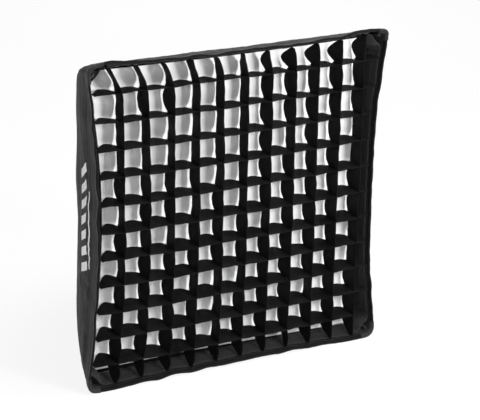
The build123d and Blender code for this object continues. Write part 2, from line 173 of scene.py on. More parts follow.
# a plain row of slanted bars and a thin rule, printed on one side
mark = {
    "start": 0.210, "end": 0.420, "near": 0.022, "far": 0.058, "pitch": 0.030, "share": 0.56, "slant": 0.55,
    "rule": 0.009, "ruleWidth": 0.0032, "ruleStart": 0.205, "ruleEnd": 0.345, "ink": 238,
}


def printedBars(along, across):
    lean = along + across * mark["slant"]
    stripe = (lean / mark["pitch"]).part() < mark["share"]
    barEnds = (lean > mark["start"]) * (lean < mark["end"])
    bar = stripe * barEnds * (across > mark["near"]) * (across < mark["far"])
    ruleEnds = (along > mark["ruleStart"]) * (along < mark["ruleEnd"])
    rule = ruleEnds * (across > mark["rule"]) * (across < mark["rule"] + mark["ruleWidth"])
    return bar.most(rule)


shellLook = {
    "dark": 19, "light": 39, "thread": 0.0011, "ripstop": 0.006, "ripstopHeight": 0.25, "mottle": 13.0,
    "worn": 0.16, "wornLift": 1.5,          # small rubbed spots
    "sheenStreaks": 0.38, "sheenGrey": 84,          # painted sheen: long paler streaks along the rim that stand in for light caught on the creases, and their grey
    "seam": 0.0018, "seamShade": 16,        # the dark line along a seam
    "crease": 0.0052, "relief": 0.00022, "sheen": 0.02, "gloss": 0.20,
}
gridLook = dict(shellLook, dark=18, light=34, worn=0.04, sheenStreaks=0.0, seam=0.0, sheen=0.0, gloss=0.05,
                crease=0.0010, ripstopHeight=0.1)


def wovenNylon(name, look, printed=False):
    finish = Finish(name)
    along, across, place = finish.cloth()
    mottle = finish.cloud(place, look["mottle"], detail=5.0)
    pulled = finish.cloud(place, 1.6, detail=4.0, roughness=0.6, twist=0.4, stretch=(3.0, 22.0, 1.0))
    fine = finish.cloud(place, 420.0, detail=2.0)
    worn = finish.cloud(place, 31.0, detail=6.0, roughness=0.7)
    rubbedAndSheen = finish.cloud(place, 2.1, detail=5.0, roughness=0.62, twist=0.3, stretch=(1.4, 34.0, 1.0))
    folds = finish.cloud(place, 9.0, detail=6.0, roughness=0.62, twist=0.7, stretch=(0.8, 5.5, 1.0))
    tone = mottle * 0.62 + pulled * 0.26 + fine * 0.24
    base = finish.between(shade(look["dark"]), shade(look["light"]), finish.step(tone, 0.40, 0.70))
    wornShade = shade(look["light"] * look["wornLift"])
    base = finish.between(base, wornShade, finish.step(worn, 0.60, 0.74) * look["worn"])
    # painted highlight: pale streaks along the rim stand in for the sheen of light on the creases
    base = finish.between(base, shade(look["sheenGrey"]), finish.step(rubbedAndSheen, 0.55, 0.72) * look["sheenStreaks"])
    base = finish.between(base, shade(look["seamShade"]), (across < look["seam"]) * 0.85)
    if printed:
        cracks = finish.step(finish.cloud(place, 380.0), 0.28, 0.42)
        base = finish.between(base, shade(mark["ink"]), printedBars(along, across) * cracks)
    weave = finish.weave(along, across, look["thread"])
    ripstop = finish.ripstop(along, across, look["ripstop"], 0.09)
    height = weave * 0.35 + ripstop * look["ripstopHeight"] + fine * 0.5
    crease = finish.relief(folds, look["crease"])
    return finish.set(colour=base, roughness=0.52 + 0.22 * mottle, sheen=look["sheen"], sheenRoughness=0.45,
                      specular=look["gloss"], normal=finish.relief(height, look["relief"], crease))


def lipTwill():
    look = {"dark": 32, "light": 60, "rib": 0.0026, "thread": 0.0011, "relief": 0.0003, "sheen": 0.03}
    finish = Finish("lipTwill")
    along, across, place = finish.cloth()
    rib = ((along + across) * (2 * math.pi / look["rib"])).sine() * 0.5 + 0.5
    thread = ((along - across) * (2 * math.pi / look["thread"])).sine() * 0.5 + 0.5
    mottle = finish.cloud(place, 24.0, detail=4.0)
    lint = finish.step(finish.cloud(place, 900.0, detail=1.0), 0.70, 0.78)
    base = finish.between(shade(look["dark"]), shade(look["light"]), rib * 0.7 + mottle * 0.45 - 0.08)
    base = finish.between(base, shade(look["light"] * 1.5), lint * 0.25)
    height = rib + thread * 0.3 + mottle * 0.4
    return finish.set(colour=base, roughness=0.62 + 0.2 * mottle, sheen=look["sheen"], sheenRoughness=0.5,
                      specular=0.10, normal=finish.relief(height, look["relief"]))


tapeLook = {"rib": 0.0014, "cord": 0.0045, "relief": 0.0003, "rubbedAndSheen": 0.5, "sheen": 0.05}
webbingLook = {"rib": 0.0018, "cord": 0.003, "relief": 0.0005, "rubbedAndSheen": 0.4, "sheen": 0.1}
threadLook = {"rib": 0.0006, "cord": 0.0006, "relief": 0.0001, "rubbedAndSheen": 0.2, "sheen": 0.05}


def webbingTape(name, dark, light, look):
    # a tape whose fold and inner half are blacker than its outside, where it has a fold: partly the tape's
    # own dark edge, partly painted shade of the gap between the hem and the lip
    finish = Finish(name)
    along, across, place = finish.cloth()
    rib = abs((along * (math.pi / look["rib"])).sine())
    cord = abs((across * (math.pi / look["cord"])).sine())
    mottle = finish.cloud(place, 60.0, detail=4.0)
    rubbedAndSheen = finish.cloud(place, 38.0, detail=5.0, roughness=0.7, stretch=(1.0, 4.0, 1.0))
    base = finish.between(shade(dark), shade(light), rib * 0.45 + cord * 0.3 + mottle * 0.4 - 0.1)
    base = finish.between(base, shade(light * 1.35), finish.step(rubbedAndSheen, 0.52, 0.72) * look["rubbedAndSheen"])
    # painted shade in part: the fold and the inner half go nearly black for the tape's dark edge and the
    # shade in the gap behind the hem
    if "fold" in look:
        base = finish.between(base, shade(15), finish.step(across, look["fold"] - 0.0012, look["fold"]))
    height = rib * 0.8 + cord * 0.5 + mottle * 0.3
    return finish.set(colour=base, roughness=0.48 + 0.2 * mottle, sheen=look["sheen"], sheenRoughness=0.4,
                      specular=0.14, normal=finish.relief(height, look["relief"]))


def hookTape(name, dark, light, hooked):
    # loop side is a matted pile, hook side stands in rows
    finish = Finish(name)
    along, across, place = finish.cloth()
    pile = finish.cloud(place, 1500.0, roughness=0.7)
    if hooked:
        rows = abs((across * (math.pi / 0.0016)).sine()) * abs((along * (math.pi / 0.0013)).sine())
        height = rows + pile * 0.4
    else:
        height = pile + finish.cloud(place, 260.0) * 0.6
    base = finish.between(shade(dark), shade(light), height * 0.6)
    return finish.set(colour=base, roughness=0.8 + 0.1 * pile, sheen=0.03, sheenRoughness=0.6,
                      specular=0.05, normal=finish.relief(height, 0.0006))


def silverCloth():
    # coated lining: bright, a little crinkled, with the base cloth's weave just showing
    look = {"bright": 236, "dull": 205, "thread": 0.0012, "crinkle": 0.0016, "weave": 0.00012}
    finish = Finish("silverLining")
    along, across, place = finish.cloth()
    crinkle = finish.cloud(place, 34.0, detail=6.0, roughness=0.62, twist=1.2)
    folds = finish.cloud(place, 7.0, detail=4.0, roughness=0.5, twist=0.6, stretch=(1.0, 5.0, 1.0))
    smudge = finish.step(finish.cloud(place, 9.0, detail=4.0), 0.45, 0.7)
    base = finish.between(shade(look["bright"]), shade(look["dull"]), smudge * 0.6 + crinkle * 0.3)
    bumpy = finish.relief(crinkle * 0.5 + folds, look["crinkle"])
    weave = finish.weave(along, across, look["thread"])
    return finish.set(colour=base, metallic=0.72, roughness=0.36 + 0.16 * crinkle,
                      normal=finish.relief(weave, look["weave"], bumpy))


def whiteCloth():
    # translucent-looking diffusion nylon
    look = {"white": 249, "shadow": 238, "thread": 0.0009, "ripstop": 0.0055, "crease": 0.0022,
            "weave": 0.00012}
    finish = Finish("diffuserWhite")
    along, across, place = finish.cloth()
    ripstop = finish.ripstop(along, across, look["ripstop"], 0.1)
    cloudy = finish.cloud(place, 12.0, detail=5.0)
    crease = finish.cloud(place, 9.0, detail=4.0, twist=0.6, stretch=(1.0, 2.6, 1.0))
    base = finish.between(shade(look["white"]), shade(look["shadow"]), cloudy * 0.5 + ripstop * 0.12)
    height = finish.weave(along, across, look["thread"]) * 0.4 + ripstop * 0.5
    soft = finish.relief(crease, look["crease"])
    return finish.set(colour=base, roughness=0.58 + 0.15 * cloudy, sheen=0.15, sheenRoughness=0.5,
                      specular=0.3, normal=finish.relief(height, look["weave"], soft))


def hardFinish(name, level, lift, metal, rough, pits, relief=0.0001, turned=1):
    # metal or plastic, its grain drawn out by the lathe where it was turned
    finish = Finish(name)
    place = finish.add("ShaderNodeTexCoord", out="Object")
    grain = finish.cloud(place, 60.0, detail=5.0, roughness=0.65, stretch=(1, turned, 1))
    pitted = finish.cloud(place, 900.0, roughness=0.6)
    rub = finish.step(finish.cloud(place, 46.0, detail=6.0, roughness=0.7), 0.5, 0.75)
    base = finish.between(shade(level), shade(level * lift), rub * 0.5 + grain * 0.3)
    return finish.set(colour=base, metallic=metal, roughness=rough + 0.2 * grain, specular=0.5,
                      normal=finish.relief(pitted * pits + grain, relief))


finishes = {
    "shell": wovenNylon("shellNylon", shellLook),
    "printed": wovenNylon("printedNylon", shellLook, printed=True),
    "grid": wovenNylon("gridCloth", gridLook),
    "lip": lipTwill(),
    "binding": webbingTape("bindingTape", 30, 70, dict(tapeLook, fold=0.0076)),
    "piping": webbingTape("pipingTape", 25, 52, tapeLook),
    "webbing": webbingTape("darkWebbing", 34, 60, webbingLook),
    "thread": webbingTape("blackThread", 44, 74, threadLook),
    "loop": hookTape("loopTape", 14, 32, hooked=False),
    "hook": hookTape("hookTape", 16, 34, hooked=True),
    "silver": silverCloth(),
    "white": whiteCloth(),
    "rod": hardFinish("springSteel", 150, lift=1.25, metal=0.95, rough=0.26, pits=0.5),
    "screw": hardFinish("screwSteel", 172, lift=1.2, metal=1, rough=0.22, pits=0.4, relief=0.00008, turned=6),
    "alloy": hardFinish("bayonetAlloy", 188, lift=1.12, metal=1, rough=0.24, pits=0.3, turned=9),
    "ring": hardFinish("ringBlack", 34, lift=1.7, metal=0.15, rough=0.42, pits=1.2, relief=0.0002),
    "knob": hardFinish("knobPlastic", 30, lift=1.6, metal=0, rough=0.45, pits=1.4, relief=0.0002, turned=3),
    "rubber": hardFinish("capRubber", 36, lift=1.8, metal=0, rough=0.6, pits=1.5, relief=0.0002),
    "washer": hardFinish("washerNylon", 214, lift=1.05, metal=0, rough=0.5, pits=0.6),
}
print("finishes:", len(finishes))


# CAD nodes whose shape stays
hardware = {
    "bayonet_insert": "alloy", "retainer_ring": "alloy", "retainer_screws": "screw", "speedring": "ring",
    "socket_screws": "screw", "glide_washer": "washer", "lock_knob": "knob", "lock_screw": "screw",
    "rod_tip_caps": "rubber",
}
cornerNames = ("top_right", "top_left", "bottom_left", "bottom_right")
for corner in cornerNames:
    hardware[f"rod_{corner}"] = "rod"
    hardware[f"rod_socket_{corner}"] = "ring"
for node, finish in hardware.items():
    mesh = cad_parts[node].data
    mesh.materials.clear()
    mesh.materials.append(finishes[finish])
print("hardware dressed:", len(hardware))


def clamp(x):
    return min(1.0, max(0.0, x))


def wander(x, y, z):
    # smooth noise from -1 to 1; a number beside a share or a depth is how often it turns per unit
    return noise.noise(Vector((x, y, z)))


def evenly(first, last, count):
    return [first + (last - first) * i / count for i in range(count + 1)]


# the shell's curve, as in the CAD model
shell = {
    "lipDepth": 0.042,
    "frontRadius": 0.910,            # the corner's line: long front run
    "rearRadius": 0.210,             # and over the back
    "rodInset": 0.010,
    "tipLean": math.radians(21),
    "ringLean": math.radians(84.4),
    "bendEnd": 0.1058,               # where the rods run straight again, from the axis
    "flapHole": 0.080,               # half the square hole round the speedring
    "bows": {"top": 0.004, "bottom": 0.001, "left": 0.020, "right": 0.020},
    "bowReach": 0.200,
    "slackBow": 0.0006,
    "cloth": 0.0012,
    "bodyCorner": 0.007,             # corner rounding behind the rim, and at it
    "rimCorner": {"top_left": 0.021, "top_right": 0.009, "bottom_left": 0.015, "bottom_right": 0.017},
    "cornerReach": 0.06,
    "flares": {"top": 0.0058, "bottom": 0.0035, "left": 0.0, "right": 0.002},     # beside the corners
    "flareStart": 0.55,
    "wave": 0.0033,                  # unevenness of the rim
    "waveReach": 0.09,
}
sides = {
    "top": (Vector((1, 0, 0)), Vector((0, 0, 1))),       # along, outwards
    "right": (Vector((0, 0, -1)), Vector((1, 0, 0))),
    "bottom": (Vector((-1, 0, 0)), Vector((0, 0, -1))),
    "left": (Vector((0, 0, 1)), Vector((-1, 0, 0))),
}
sideNumber = {side: number for number, side in enumerate(sides)}
cornersOf = {"top": ("top_left", "top_right"), "right": ("top_right", "bottom_right"),
             "bottom": ("bottom_right", "bottom_left"), "left": ("bottom_left", "top_left")}
cornerShare = 0.96                   # of a half side, before it rounds the corner
arcStep = shell["frontRadius"] - shell["rearRadius"]
frontR = rimHalf * rootTwo - shell["frontRadius"] * math.cos(shell["tipLean"])
frontD = -shell["frontRadius"] * math.sin(shell["tipLean"])
rodRear = shell["rearRadius"] - shell["rodInset"]
bendLean = math.acos((shell["bendEnd"] - rodRear * math.cos(shell["ringLean"]) - frontR) / arcStep)
rearR = frontR + arcStep * math.cos(bendLean)
rearD = frontD + arcStep * math.sin(bendLean)


def profile(lean, inset=0.0):
    # half side and depth on the shell, by the lean of the corner's line
    radius, centreR, centreD = shell["frontRadius"], frontR, frontD
    if lean > bendLean:
        radius, centreR, centreD = shell["rearRadius"], rearR, rearD
    half = (centreR + radius * math.cos(lean)) / rootTwo
    depth = centreD + radius * math.sin(lean)
    normal = Vector((math.cos(lean), math.sin(lean) / rootTwo)).normalized()
    return half - inset * normal.x, depth - inset * normal.y


def leanAt(depth):
    return math.asin((depth - frontD) / shell["frontRadius"])


bendDepth = profile(bendLean)[1]
lastLean = math.acos((shell["flapHole"] * rootTwo - rearR) / shell["rearRadius"])


def halfSide(depth):
    return profile(leanAt(min(depth, bendDepth)))[0]


def bow(side, depth):
    return shell["bows"][side] * max(0.0, 1 - depth / shell["bowReach"]) ** 1.5 + shell["slackBow"]


def rimWave(side, share, depth):
    # the sewn rim is never quite straight
    number = sideNumber[side]
    uneven = 0.6 * wander(share * 3.1, number * 7.3, 0.4) + wander(share * 8.3, number, 5.0)
    near = clamp((abs(share) - shell["flareStart"]) / (1 - shell["flareStart"]))
    flare = shell["flares"][side] * math.sin(math.pi * near**1.6) ** 1.5
    return (flare + shell["wave"] * uneven * (1 - share**8)) * max(0.0, 1 - depth / shell["waveReach"])


def cornerRounding(side, share, depth, inset=0.0):
    atRim = shell["rimCorner"][cornersOf[side][share > 0]] - shell["bodyCorner"]
    fade = max(0.0, 1 - depth / shell["cornerReach"])
    return max(shell["cloth"], shell["bodyCorner"] + atRim * fade * min(1.0, abs(share) * 2) - inset)


def wallPoint(side, share, half, depth, rounding, lift=0.0):
    # a place on one side's wall; share runs from -1 to 1 between the corners
    along, out = sides[side]
    if abs(share) > cornerShare:
        turn = (abs(share) - cornerShare) / (1 - cornerShare) * math.pi / 4
        run = math.copysign(half - rounding + rounding * math.sin(turn), share)
        reach = half - rounding + rounding * math.cos(turn)
        lift = lift * math.cos(turn * 2)
    else:
        run = share / cornerShare * (half - rounding)
        reach = half
    reach += lift - bow(side, depth) * (1 - (run / half) ** 2) + rimWave(side, share, depth)
    return along * run + out * reach + Vector((0, rimY + depth, 0))


def lipPoint(side, share, depth, inset, lift=0.0):
    # in the lip, insets are level with the rim's plane
    rounding = cornerRounding(side, share, depth, inset)
    return wallPoint(side, share, halfSide(depth) - inset, depth, rounding, lift)


def shellPoint(side, share, lean, inset, lift=0.0):
    half, depth = profile(lean, inset)
    return wallPoint(side, share, half, depth, cornerRounding(side, share, depth, inset), lift)


def shares(count, corner=4):
    # places along a side, closer together round its corners
    edge = [-1 + (1 - cornerShare) * i / corner for i in range(corner)]
    middle = [cornerShare * (2 * i / count - 1) for i in range(count + 1)]
    return edge + middle + [-x for x in reversed(edge)]


def addObject(name, data):
    made = bpy.data.objects.new(name, data)
    bpy.context.scene.collection.objects.link(made)
    return made


def finishPiece(name, mesh, body, materials, crisp=40):
    # gives a mesh its looks and lets it ride on its body
    for material in materials:
        mesh.materials.append(finishes[material])
    mesh.shade_smooth()
    mesh.set_sharp_from_angle(angle=math.radians(crisp))
    piece = addObject(name, mesh)
    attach(piece, body)
    return piece


class Draft:
    # a piece's points, their places on the flat cloth, its faces and which material each face has
    def __init__(self):
        self.points = []
        self.places = []
        self.faces = []
        self.kinds = []

    def point(self, spot, along, across):
        self.points.append(tuple(spot))
        self.places.append((along, across))

    def sheet(self, wide, tall, kinds=(0, 0, 0)):
        # a closed sheet from the last two layers of points; kinds are its outer face, inner face and rim
        inner = wide * tall
        first = len(self.points) - 2 * inner
        for row in range(tall - 1):
            for column in range(wide - 1):
                at = first + row * wide + column
                quad = (at, at + 1, at + wide + 1, at + wide)
                self.faces += [quad, tuple(inner + i for i in reversed(quad))]
                self.kinds += kinds[:2]
        rim = list(range(wide)) + [row * wide + wide - 1 for row in range(1, tall)]
        rim += [(tall - 1) * wide + column for column in range(wide - 2, -1, -1)]
        rim += [row * wide for row in range(tall - 2, 0, -1)]
        for here, after in zip(rim, rim[1:] + rim[:1]):
            here, after = first + here, first + after
            self.faces.append((after, here, inner + here, inner + after))
            self.kinds.append(kinds[2])

    def tube(self, count, ring, closed=False):
        # a tube from the last rings of points, capped where it isn't closed
        first = len(self.points) - count * ring
        for i in range(count if closed else count - 1):
            here, after = first + i * ring, first + (i + 1) % count * ring
            for k in range(ring):
                beside = (k + 1) % ring
                self.faces.append((here + k, here + beside, after + beside, after + k))
        if not closed:
            last = first + (count - 1) * ring
            self.faces += [tuple(range(first, first + ring)), tuple(range(last + ring - 1, last - 1, -1))]

    def make(self, name, body, materials, crisp=40):
        mesh = bpy.data.meshes.new(name)
        mesh.from_pydata(self.points, [], self.faces)
        layer = mesh.uv_layers.new(name="cloth")
        for loop in mesh.loops:
            layer.data[loop.index].uv = self.places[loop.vertex_index]
        if self.kinds:
            mesh.polygons.foreach_set("material_index", self.kinds)
        work = bmesh.new()
        work.from_mesh(mesh)
        bmesh.ops.recalc_face_normals(work, faces=work.faces)
        work.to_mesh(mesh)
        work.free()
        return finishPiece(name, mesh, body, materials, crisp)


def clothSheet(name, across, down, place, size, body, materials):
    # place(share, step, layer) gives the sheet's outer face, layer 0, and its inner, layer 1
    draft = Draft()
    wide, tall = len(across), len(down)
    for layer in (0, 1):
        for row, step in enumerate(down):
            for column, share in enumerate(across):
                draft.point(place(share, step, layer),
                            column / (wide - 1) * size[0], row / (tall - 1) * size[1])
    draft.sheet(wide, tall, (0, len(materials) - 1, 0))
    return draft.make(name, body, materials)


def rope(name, line, radius, body, material, ring=8):
    # a round tube through a list of points
    draft = Draft()
    length = 0.0
    up = Vector((0.31, 0.17, 0.93))      # no line runs this way
    for i, centre in enumerate(line):
        before, after = line[max(i - 1, 0)], line[min(i + 1, len(line) - 1)]
        run = (after - before).normalized()
        up = (up - run * up.dot(run)).normalized()
        beside = run.cross(up)
        length += (centre - line[i - 1]).length if i else 0.0
        for k in range(ring):
            turn = 2 * math.pi * k / ring
            spot = centre + (up * math.cos(turn) + beside * math.sin(turn)) * radius
            draft.point(spot, length, turn * radius)
    draft.tube(len(line), ring)
    return draft.make(name, body, [material])


thread = {
    "length": 0.0031, "pitch": 0.0044, "radius": 0.00036, "sides": 5, "flat": 1.25,
    # each ring's shift along the stitch, swell, and rise off the cloth
    "rings": ((-0.5, 0.25, -0.6), (-0.3, 1.0, 0.5), (0.3, 1.0, 0.5), (0.5, 0.25, -0.6)),
}


def addStitch(draft, centre, run, normal):
    beside = run.cross(normal).normalized()
    for shift, swell, rise in thread["rings"]:
        for k in range(thread["sides"]):
            turn = 2 * math.pi * k / thread["sides"]
            around = beside * math.cos(turn) * thread["flat"] + normal * (math.sin(turn) + rise)
            spot = centre + run * shift * thread["length"] + around * thread["radius"] * swell
            draft.point(spot, shift * thread["length"], turn * thread["radius"])
    draft.tube(len(thread["rings"]), thread["sides"])


def stitches(name, seams, body):
    # small bars of thread laid along each seam, on the side that its normal gives
    draft = Draft()
    for line, normal in seams:
        travelled, wanted = 0.0, thread["pitch"] / 2
        for here, after in zip(line, line[1:]):
            span = (after - here).length
            while span > 0 and wanted <= travelled + span:
                run = (after - here) / span
                addStitch(draft, here + run * (wanted - travelled), run, normal)
                wanted += thread["pitch"]
            travelled += span
    return draft.make(name, body, ["thread"], crisp=70)


def seamLine(side, across, depth, inset, out):
    # a seam along one side, its thread lifted outwards by 1 or inwards by -1
    return [lipPoint(side, share, depth, inset) for share in across], sides[side][1] * out


# outer shell: panels, rear flaps, lining, lips
panelCut = {
    "columns": 104, "rows": 60, "flapRows": 20, "lipRows": 14,
    "skin": 0.0001,                      # how far its outer face lies inside the CAD model's
    "seamGap": 0.0004, "held": 0.012,    # the lip's seam, and how far it holds the cloth
    "crease": 0.0036, "pucker": 0.0030, "puckerReach": 0.035,
    "puff": 0.0058, "puffReach": 0.22,   # how far the cloth stands out between the rods, near the lip
    "ripple": 0.0016, "rippleStart": 0.011, "rippleRise": 0.006, "rippleEnd": 0.19,
    "lipThick": 0.0022,
}
lining = {"gap": 0.0004, "thick": 0.0006, "slack": 0.0022, "pucker": 0.0009, "held": 0.02}


def ripple(side, share, depth):
    # fine slack lines along the rim, in front of the rods' long run
    number = sideNumber[side]
    row = wander(share * 2.4, depth * 78, 90 + number * 3.7)
    row += 0.6 * wander(share * 5.0, depth * 150, 70 + number)
    rise = clamp((depth - panelCut["rippleStart"]) / panelCut["rippleRise"])
    fade = max(0.0, 1 - depth / panelCut["rippleEnd"]) ** 0.5
    return panelCut["ripple"] * row * rise * fade * (1 - share**10)


def panelLift(side, share, lean):
    # slack in the stretched panel: long soft creases between the rods, puckers at the lip's seam
    depth = profile(lean)[1]
    behind = depth - shell["lipDepth"]
    seed = sideNumber[side] * 11.7
    held = (1 - share**6) * min(1.0, behind / panelCut["held"] + 0.15)
    soft = wander(share * 1.7, depth * 19, seed) * 0.8 + wander(share * 3.1, depth * 41, seed + 3) * 0.45
    ridge = 1 - abs(wander(share * 1.1 + depth * 3, depth * 13 - share * 1.3, seed + 8)) * 4
    pucker = wander(share * 26, depth * 9, seed + 5) * math.exp(-max(0.0, behind) / panelCut["puckerReach"])
    slack = panelCut["crease"] * (soft + 0.35 * max(0.0, ridge) - 0.2) + panelCut["pucker"] * pucker
    puff = panelCut["puff"] * math.sin(math.pi * clamp(behind / panelCut["puffReach"]) ** 0.7)
    return held * slack + (1 - share**18) * puff + ripple(side, share, depth)


def flatSize(leans):
    # the trapezoid's bounding cut and its own area
    spots = [Vector(profile(lean)) for lean in leans]
    length = sum((b - a).length for a, b in zip(spots, spots[1:]))
    wide, narrow = 2 * profile(leans[0])[0], 2 * profile(leans[-1])[0]
    return (wide, length), (wide + narrow) / 2 * length


panelLeans = evenly(leanAt(shell["lipDepth"]), bendLean, panelCut["rows"])
flapLeans = evenly(bendLean, lastLean, panelCut["flapRows"])
liningLeans = panelLeans[:-1] + flapLeans
lipDepths = evenly(0.0006, shell["lipDepth"] - panelCut["seamGap"], panelCut["lipRows"])
across = shares(panelCut["columns"])

for side in sides:
    def outerFace(share, lean, layer):
        inset = shell["cloth"] * layer + panelCut["skin"]
        return shellPoint(side, share, lean, inset, panelLift(side, share, lean))

    def liningFace(share, lean, layer):
        depth = profile(lean)[1]
        seed = len(side)     # differs from side to side
        slack = wander(share * 2.6, depth * 16, 31 + seed) * lining["slack"]
        slack += wander(share * 9, depth * 22, 47 + seed) * lining["pucker"]
        held = (1 - share**6) * min(1.0, (depth - shell["lipDepth"]) / lining["held"])
        lift = min(0.0, panelLift(side, share, lean)) - abs(slack) * held
        return shellPoint(side, share, lean, shell["cloth"] + lining["gap"] + lining["thick"] * layer, lift)

    def lipFace(share, depth, layer):
        inset = panelCut["skin"] + panelCut["lipThick"] * layer
        return lipPoint(side, share, depth, inset, abs(ripple(side, share, depth)) * (1 - layer))

    for node, leans in (("panel", panelLeans), ("rear_flap", flapLeans)):
        cut, area = flatSize(leans)
        materials = ["printed" if node == "panel" and side == "left" else "shell"]
        piece = clothSheet(f"{node}Cloth_{side}", across, leans, outerFace, cut,
                           "softbox", materials)
        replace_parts(piece, f"{node}_{side}")

    cut, area = flatSize(liningLeans)
    piece = clothSheet(f"liningCloth_{side}", across, liningLeans, liningFace, cut,
                       "softbox", ["silver"])
    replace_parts(piece, f"lining_{side}")

    cut = (2 * rimHalf, shell["lipDepth"])
    piece = clothSheet(f"lipCloth_{side}", across, lipDepths, lipFace, cut,
                       "softbox", ["shell", "lip"])
    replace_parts(piece, f"lip_{side}")
print("shell cloth made")


# binding over the rim's edge, with its rows of thread
hem = {
    "columns": 150, "cornerColumns": 7, "width": 0.022,
    "ruck": 0.0013, "cornerRuck": 0.09,          # the share beside a corner that rucks more
    "groove": 0.0071,                            # its seam's depth, and the inset of each row of thread
    "outerRow": -0.0005, "innerRow": 0.0032,
    "lipRows": (-0.0022, 0.0024), "lipRow": -0.0003,     # rows in front of and behind the lip's seam
}
hemProfile = [(-0.0007, 0.0094), (-0.0013, 0.0084), (-0.0001, 0.0071), (-0.0015, 0.0055), (-0.0017, 0.0032),
              (-0.0011, 0.0012), (0.0002, 0.0001), (0.0014, -0.0003), (0.0026, 0.0003), (0.0035, 0.0015),
              (0.0038, 0.0034), (0.0037, 0.0055), (0.0031, 0.0071), (0.0035, 0.0082), (0.0033, 0.0092)]
hemColumns = shares(hem["columns"], hem["cornerColumns"])
draft = Draft()
for number, side in enumerate(sides):
    for column, share in enumerate(hemColumns[:-1]):
        near = max(0.0, 1 - (1 - abs(share)) / hem["cornerRuck"])
        for k, (inset, depth) in enumerate(hemProfile):
            ruck = wander(share * 34, number * 5 + inset * 300, depth * 260)
            spot = lipPoint(side, share, depth, inset, ruck * hem["ruck"] * (0.45 + 1.1 * near))
            along = (number + column / len(hemColumns)) * 2 * rimHalf
            draft.point(spot, along, k / len(hemProfile) * hem["width"])
draft.tube(len(sides) * (len(hemColumns) - 1), len(hemProfile), closed=True)
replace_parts(draft.make("rimBindingTape", "softbox", ["binding"], crisp=60), "rim_binding")

seams = []
straight = [share for share in shares(hem["columns"]) if abs(share) < cornerShare]
for side in sides:
    seams.append(seamLine(side, straight, hem["groove"], hem["outerRow"], 1))
    seams.append(seamLine(side, straight, hem["groove"], hem["innerRow"], -1))
    for row in hem["lipRows"]:
        seams.append(seamLine(side, straight, shell["lipDepth"] + row, hem["lipRow"], 1))
stitches("seamThread", seams, "softbox")
print("rim bound and stitched")


# piping down the corner seams
piping = {"radius": 0.0015, "start": 0.006, "stand": 0.0004, "steps": 70, "rearSteps": 24}
pipingLeans = evenly(leanAt(piping["start"]), bendLean, piping["steps"])
pipingLeans += evenly(bendLean, lastLean, piping["rearSteps"])[1:]
for side in ("top", "bottom"):
    for end, corner in zip((1, -1), reversed(cornersOf[side])):
        line = [shellPoint(side, end, lean, -piping["stand"]) for lean in pipingLeans]
        piece = rope(f"cornerPiping_{corner}", line, piping["radius"], "softbox", "piping")
        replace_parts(piece)
print("corners piped")


# tapes and hook bands inside the lip
bandEnd = 0.885      # share of the side that they cover
bandShares = evenly(-bandEnd, bandEnd, 90)
bandSwell = 0.00022
bands = (
    # name, node, body, materials, front, rear, inset, thickness
    ("gridLoopTape", "grid_loop_tape", "softbox", ["loop"], 0.0110, 0.0270, 0.0026, 0.0008),
    ("diffuserLoopTape", "diffuser_loop_tape", "softbox", ["loop"], 0.0300, 0.0410, 0.0026, 0.0008),
    ("gridBorder", "grid_hook_band", "grid", ["hook", "lip"], 0.0105, 0.0285, 0.0038, 0.0012),
    ("diffuserBorder", "diffuser_hook_band", "diffuser", ["hook", "lip"], 0.0300, 0.0412, 0.0038, 0.0010),
)
for name, node, body, materials, front, rear, inset, thick in bands:
    draft = Draft()
    steps = evenly(front, rear, 3)
    for number, side in enumerate(sides):
        for layer in (0, 1):
            for step in steps:
                for share in bandShares:
                    swell = wander(share * 21, step * 60, number + inset * 900) * bandSwell
                    spot = lipPoint(side, share, step, inset + thick * layer, swell)
                    draft.point(spot, (share + 1) * rimHalf, step)
        draft.sheet(len(bandShares), len(steps), (0, len(materials) - 1, len(materials) - 1))
    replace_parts(draft.make(name, body, materials), node)

borderSeam = {"depths": (0.0122, 0.0268), "inset": 0.0051}
covered = evenly(-bandEnd, bandEnd, 120)
seams = []
for side in sides:
    seams += [seamLine(side, covered, depth, borderSeam["inset"], -1) for depth in borderSeam["depths"]]
stitches("gridBorderThread", seams, "grid")
print("tapes and borders made")


# webbing pockets over the rods' ends
pocket = {
    "leg": 0.026, "front": 0.0100, "rear": 0.0370, "thick": 0.0014, "inset": 0.0026, "cut": (0.046, 0.027),
    "bulge": 0.0030, "bulgeReach": 0.0200,
    "turned": 0.12, "spread": 0.075,     # share of the band that turns along a wall, and how far it goes
    "gap": 0.0001,
}


def cornerSpot(corner, along, out, depth):
    # in a front corner: along its diagonal's two walls, measured from the inner corner
    upright, level = corner.split("_")
    up = 1 if upright == "top" else -1
    right = 1 if level == "right" else -1
    edge = halfSide(depth) - pocket["inset"]
    drawnTop = bow(upright, depth) * (1 - (1 - along / edge) ** 2)
    drawnSide = bow(level, depth) * (1 - (1 - out / edge) ** 2)
    return Vector((right * (edge - along - drawnSide), rimY + depth, up * (edge - out - drawnTop)))


for corner in cornerNames:
    def pocketFace(share, depth, layer):
        # a band that crosses the corner, its ends turned along the two walls
        lean = 0.5 + 0.5 * share
        middle = (pocket["front"] + pocket["rear"]) / 2
        swell = pocket["bulge"] * math.sin(math.pi * lean) ** 2
        swell *= 1 - ((depth - middle) / pocket["bulgeReach"]) ** 2
        thick = pocket["thick"] * (1 - layer)
        reach = pocket["leg"] + (swell + thick) * rootTwo
        near = min(lean, 1 - lean)
        spot = [reach * (1 - near), reach * near]
        if near < pocket["turned"]:
            spot = [reach * (1 - pocket["turned"]) + (pocket["turned"] - near) * pocket["spread"],
                    max(reach * near, thick + pocket["gap"])]
        if lean > 0.5:
            spot.reverse()
        return cornerSpot(corner, *spot, depth)

    depths = evenly(pocket["front"], pocket["rear"], 8)
    piece = clothSheet(f"cornerPocket_{corner}", evenly(-1, 1, 32), depths, pocketFace, pocket["cut"],
                       "softbox", ["webbing"])
    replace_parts(piece, f"corner_pocket_{corner}")

